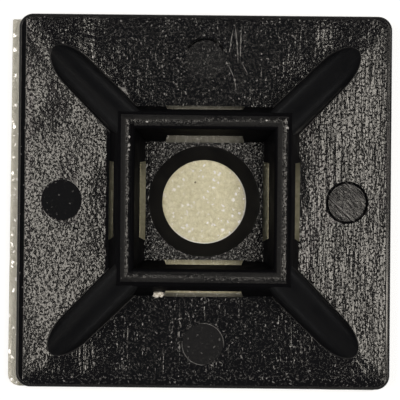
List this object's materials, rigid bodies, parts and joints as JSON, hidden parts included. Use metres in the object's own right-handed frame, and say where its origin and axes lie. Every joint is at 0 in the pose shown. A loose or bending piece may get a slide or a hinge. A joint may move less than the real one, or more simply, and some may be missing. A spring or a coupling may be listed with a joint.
{
  "type": "cable tie mount",
  "caption": "Square adhesive-backed mount for cable ties: raised square frame with tie windows on sloping legs, countersunk screw hole, foam tape and release liner.",
  "frame": {"origin": "on the axis of the screw hole, at the underside of the release liner", "axes": "+Z along the screw hole's axis, away from the surface that the mount sticks to; +X and +Y along the sides of the plate"},
  "size_m": [0.0286, 0.028, 0.0071],
  "materials": {
    "black_nylon": "black nylon: fine moulded grain on the plate, well floor and frame top, polished legs and walls",
    "foam": "cream foam tape with a clear, sparkling film of adhesive",
    "liner_paper": "thin siliconised paper, slightly glossy"
  },
  "bodies": {
    "root": {"mount_body": "black_nylon", "foam_tape": "foam", "release_liner": "liner_paper"}
  },
  "joints": []
}
